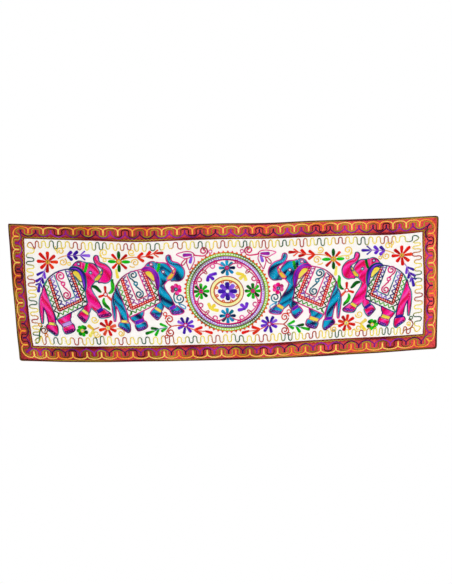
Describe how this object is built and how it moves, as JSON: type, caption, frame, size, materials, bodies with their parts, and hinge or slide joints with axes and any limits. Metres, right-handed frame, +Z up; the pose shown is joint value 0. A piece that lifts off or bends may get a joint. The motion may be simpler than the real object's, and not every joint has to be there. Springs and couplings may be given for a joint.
{
  "type": "embroidered wall tapestry",
  "caption": "Long embroidered cotton wall hanging with a cream centre panel and mitred maroon border strips, hung by its top edge.",
  "frame": {"origin": "middle of the top edge, on the face that meets the wall", "axes": "+X across the cloth to the viewer's right, +Y towards the wall, +Z up; the embroidered face looks towards -Y"},
  "size_m": [1.5457, 0.0143, 0.5258],
  "materials": {
    "panel_cloth": "plain woven cream cotton",
    "border_cloth": "maroon cotton with a soft satin sheen",
    "embroidery": "glossy rayon chain stitch in many colours"
  },
  "bodies": {
    "root": {"centre_panel": "panel_cloth", "border_top": "border_cloth", "border_right": "border_cloth", "border_bottom": "border_cloth", "border_left": "border_cloth"}
  },
  "joints": []
}
